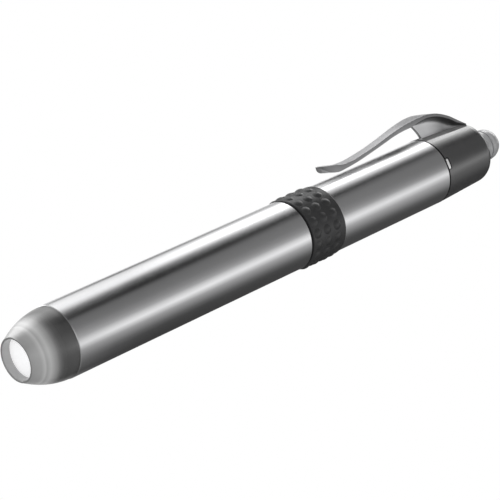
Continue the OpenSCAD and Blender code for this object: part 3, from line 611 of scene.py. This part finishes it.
# Studio: a graded tent that only reflections show, two lamps, a pale floor far below and white all round
studio = {
    # each stretch has the span along the tent over which it takes over from the one before, and its stops:
    # degrees from straight up towards the camera's side, and brightness
    "tent": [
        (None, [
            (-105, 1.15), (-90, 1.1), (-78, 0.85), (-67, 0.45), (-56, 0.90), (-48, 1.6), (-42, 3.2), (-20, 3.2),
            (-12, 1.7), (-5, 1.1), (4, 0.55), (12, 0.16), (20, 0.07), (30, 0.13), (42, 0.17), (66, 0.17),
            (80, 0.20), (92, 0.28), (102, 0.57), (113, 0.88), (122, 0.62), (131, 0.42), (143, 0.33), (156, 0.22),
            (170, 0.11), (185, 0.075), (222, 0.07), (237, 0.11), (250, 0.2), (254, 0.6),
        ]),
        ((-0.243, -0.232), [
            (-105, 1.15), (-90, 1.1), (-78, 0.85), (-67, 0.45), (-56, 0.90), (-48, 1.6), (-42, 3.0), (-20, 3.0),
            (-12, 1.5), (-5, 0.95), (4, 0.50), (12, 0.16), (20, 0.05), (30, 0.16), (42, 0.22), (66, 0.26),
            (80, 0.33), (92, 0.48), (102, 0.85), (113, 1.08), (122, 0.85), (131, 0.55), (143, 0.38), (156, 0.22),
            (170, 0.11), (185, 0.075), (222, 0.07), (237, 0.11), (250, 0.2), (254, 0.6),
        ]),
        ((-0.223, -0.122), [
            (-105, 1.1), (-90, 1.0), (-78, 0.62), (-71, 0.25), (-67, 0.0), (-63, 0.25), (-56, 0.8), (-45, 0.92),
            (-20, 0.98), (-10, 0.75), (-3, 0.30), (5, 0.07), (15, 0.02), (28, 0.012), (40, 0.14), (66, 0.19),
            (80, 0.27), (92, 0.42), (102, 0.80), (113, 1.10), (121, 0.75), (130, 0.40), (142, 0.25), (155, 0.12),
            (170, 0.055), (222, 0.045), (237, 0.07), (250, 0.15), (254, 0.6),
        ]),
        ((-0.098, -0.08), [
            (-105, 0.95), (-80, 0.9), (-60, 1.05), (-30, 1.6), (-15, 1.3), (0, 0.8), (12, 0.25), (20, 0.14),
            (28, 0.06), (40, 0.16), (60, 0.22), (90, 0.5), (107, 0.7), (130, 0.4), (200, 0.12), (254, 0.6),
        ]),
        ((-0.05, 0.02), [
            (-105, 1.0), (-80, 1.2), (-60, 3.0), (-30, 3.0), (-15, 1.9), (0, 0.8), (20, 0.4), (60, 0.3),
            (100, 0.5), (130, 0.3), (200, 0.1), (254, 0.6),
        ]),
        ((0.04, 0.08), [
            (-105, 0.2), (-70, 0.25), (-50, 0.6), (-20, 0.5), (-5, 0.15), (40, 0.15), (60, 0.35), (90, 0.6),
            (110, 0.45), (130, 0.35), (200, 0.1), (254, 0.2),
        ]),
    ],
    # a dark card over the cap and the rear barrel, close inside the tent: where it reaches along the tent, and the
    # angles of its far and near edges at its two ends
    "card": {"reach": (-0.26, -0.194), "farEdges": (-66, -74), "nearEdges": (-17, -35), "r": 0.18, "bright": 0.01},
    # the tent's angles start at its seam
    "tentR": 0.19, "tentX": (-1.2, 0.8), "tentSides": 120, "seam": -105, "cardSides": 8,
    "floorZ": -0.2, "floorSide": 6, "floorColor": 0.86, "floorRough": 0.8, "ambient": 0.62,
    "lamps": {
        "keyPanel": {"place": (-0.15, -0.22, 0.55), "size": (0.9, 0.5), "power": 1.9},
        "fillPanel": {"place": (0.2, 0.6, 0.15), "size": (0.9, 0.4), "power": 0.5},
    },
    "lampTarget": (-0.02, 0, 0),
}
panelHiddenFrom = ("visible_camera", "visible_diffuse", "visible_shadow", "visible_transmission",
                   "visible_volume_scatter")


# A glowing panel that only reflections show
def glowPanel(name, paper, verts, faces):
    mesh = bpy.data.meshes.new(name)
    mesh.from_pydata(verts, [], faces)
    panel = bpy.data.objects.new(name, mesh)
    bpy.context.scene.collection.objects.link(panel)
    material = bpy.data.materials.new(paper)
    material.use_nodes = True
    tree = material.node_tree
    tree.nodes.remove(tree.nodes["Principled BSDF"])
    glow = node(tree, "ShaderNodeEmission")
    tree.links.new(glow.outputs[0], tree.nodes["Material Output"].inputs["Surface"])
    mesh.materials.append(material)
    for flag in panelHiddenFrom:
        setattr(panel, flag, False)
    return tree, glow


def studioTent():
    count, seam = studio["tentSides"], studio["seam"]
    verts = []
    for x in studio["tentX"]:
        for i in range(count):
            a = 2 * math.pi * i / count
            verts.append((x, studio["tentR"] * math.sin(a), studio["tentR"] * math.cos(a)))
    faces = [(i, (i + 1) % count, count + (i + 1) % count, count + i) for i in range(count)]
    tree, glow = glowPanel("studioTent", "tentPaper", verts, faces)
    space = node(tree, "ShaderNodeTexCoord")
    split = node(tree, "ShaderNodeSeparateXYZ")
    tree.links.new(space.outputs["Object"], split.inputs[0])
    angle = node(tree, "ShaderNodeMath", operation="ARCTAN2")
    tree.links.new(split.outputs["Y"], angle.inputs[0])
    tree.links.new(split.outputs["Z"], angle.inputs[1])
    # from -180..180 degrees, with what lies under the seam wrapped to the far end
    wrap = node(tree, "ShaderNodeMath", operation="WRAP")
    tree.links.new(angle.outputs[0], wrap.inputs[0])
    wrap.inputs[1].default_value = math.radians(seam + 360)
    wrap.inputs[2].default_value = math.radians(seam)
    scale = node(tree, "ShaderNodeMapRange")
    scale.inputs["From Min"].default_value = math.radians(seam)
    scale.inputs["From Max"].default_value = math.radians(seam + 360)
    tree.links.new(wrap.outputs[0], scale.inputs["Value"])
    shown = None
    for span, levels in studio["tent"]:
        ramp = node(tree, "ShaderNodeValToRGB")
        stops = ramp.color_ramp.elements
        for i, (degrees, bright) in enumerate(levels):
            share = (degrees - seam) / 360
            stop = stops[i] if i < 2 else stops.new(share)
            stop.position = share
            stop.color = (bright, bright, bright, 1)
        tree.links.new(scale.outputs["Result"], ramp.inputs["Fac"])
        if shown is None:
            shown = ramp.outputs["Color"]
        else:
            along = node(tree, "ShaderNodeMapRange")
            along.inputs["From Min"].default_value = span[0]
            along.inputs["From Max"].default_value = span[1]
            tree.links.new(split.outputs["X"], along.inputs["Value"])
            blend = node(tree, "ShaderNodeMix", data_type="RGBA")
            tree.links.new(along.outputs["Result"], blend.inputs[0])
            tree.links.new(shown, blend.inputs[6])
            tree.links.new(ramp.outputs["Color"], blend.inputs[7])
            shown = blend.outputs[2]
    tree.links.new(shown, glow.inputs["Color"])


def studioCard():
    card = studio["card"]
    count = studio["cardSides"]
    verts = []
    for x, farEdge, nearEdge in zip(card["reach"], card["farEdges"], card["nearEdges"]):
        for i in range(count + 1):
            a = math.radians(between(farEdge, nearEdge, i / count))
            verts.append((x, card["r"] * math.sin(a), card["r"] * math.cos(a)))
    faces = [(i, i + 1, count + 2 + i, count + 1 + i) for i in range(count)]
    glow = glowPanel("studioCard", "cardPaper", verts, faces)[1]
    glow.inputs["Color"].default_value = (1, 1, 1, 1)
    glow.inputs["Strength"].default_value = card["bright"]


# White for what the camera sees directly or in gloss and glass, and the given shader for everything else
def whiteToTheEye(tree, lit):
    rays = node(tree, "ShaderNodeLightPath")
    seen = node(tree, "ShaderNodeMath", operation="MAXIMUM")
    seenAll = node(tree, "ShaderNodeMath", operation="MAXIMUM")
    tree.links.new(rays.outputs["Is Camera Ray"], seen.inputs[0])
    tree.links.new(rays.outputs["Is Glossy Ray"], seen.inputs[1])
    tree.links.new(seen.outputs[0], seenAll.inputs[0])
    tree.links.new(rays.outputs["Is Transmission Ray"], seenAll.inputs[1])
    white = node(tree, "ShaderNodeEmission" if lit.bl_idname != "ShaderNodeBackground" else "ShaderNodeBackground")
    white.inputs["Strength"].default_value = 1
    white.inputs["Color"].default_value = (1, 1, 1, 1)
    mix = node(tree, "ShaderNodeMixShader")
    tree.links.new(seenAll.outputs[0], mix.inputs[0])
    tree.links.new(lit.outputs[0], mix.inputs[1])
    tree.links.new(white.outputs[0], mix.inputs[2])
    return mix


def studioWorld():
    world = bpy.data.worlds.new("studioAir")
    bpy.context.scene.world = world
    world.use_nodes = True
    tree = world.node_tree
    air = tree.nodes["Background"]
    air.inputs["Color"].default_value = (1, 1, 1, 1)
    air.inputs["Strength"].default_value = studio["ambient"]
    mix = whiteToTheEye(tree, air)
    tree.links.new(mix.outputs[0], tree.nodes["World Output"].inputs["Surface"])


def studioFloor():
    mesh = bpy.data.meshes.new("studioFloor")
    side, shade = studio["floorSide"], studio["floorColor"]
    mesh.from_pydata([(-side, -side, 0), (side, -side, 0), (side, side, 0), (-side, side, 0)], [], [(0, 1, 2, 3)])
    floor = bpy.data.objects.new("studioFloor", mesh)
    floor.location.z = studio["floorZ"]
    bpy.context.scene.collection.objects.link(floor)
    material = bpy.data.materials.new("paleFloor")
    material.use_nodes = True
    tree = material.node_tree
    shader = tree.nodes["Principled BSDF"]
    shader.inputs["Base Color"].default_value = (shade, shade, shade, 1)
    shader.inputs["Roughness"].default_value = studio["floorRough"]
    mix = whiteToTheEye(tree, shader)
    tree.links.new(mix.outputs[0], tree.nodes["Material Output"].inputs["Surface"])
    mesh.materials.append(material)


def studioLamp(name, look):
    data = bpy.data.lights.new(name, "AREA")
    data.shape = "RECTANGLE"
    data.size, data.size_y = look["size"]
    data.energy = look["power"]
    lamp = bpy.data.objects.new(name, data)
    lamp.location = look["place"]
    towards = Vector(studio["lampTarget"]) - Vector(look["place"])
    lamp.rotation_euler = towards.to_track_quat("-Z", "Y").to_euler()
    lamp.visible_camera = False
    lamp.visible_glossy = False
    bpy.context.scene.collection.objects.link(lamp)


studioTent()
studioCard()
studioWorld()
studioFloor()
for lampName, lampLook in studio["lamps"].items():
    studioLamp(lampName, lampLook)
print("penlight: studio set")
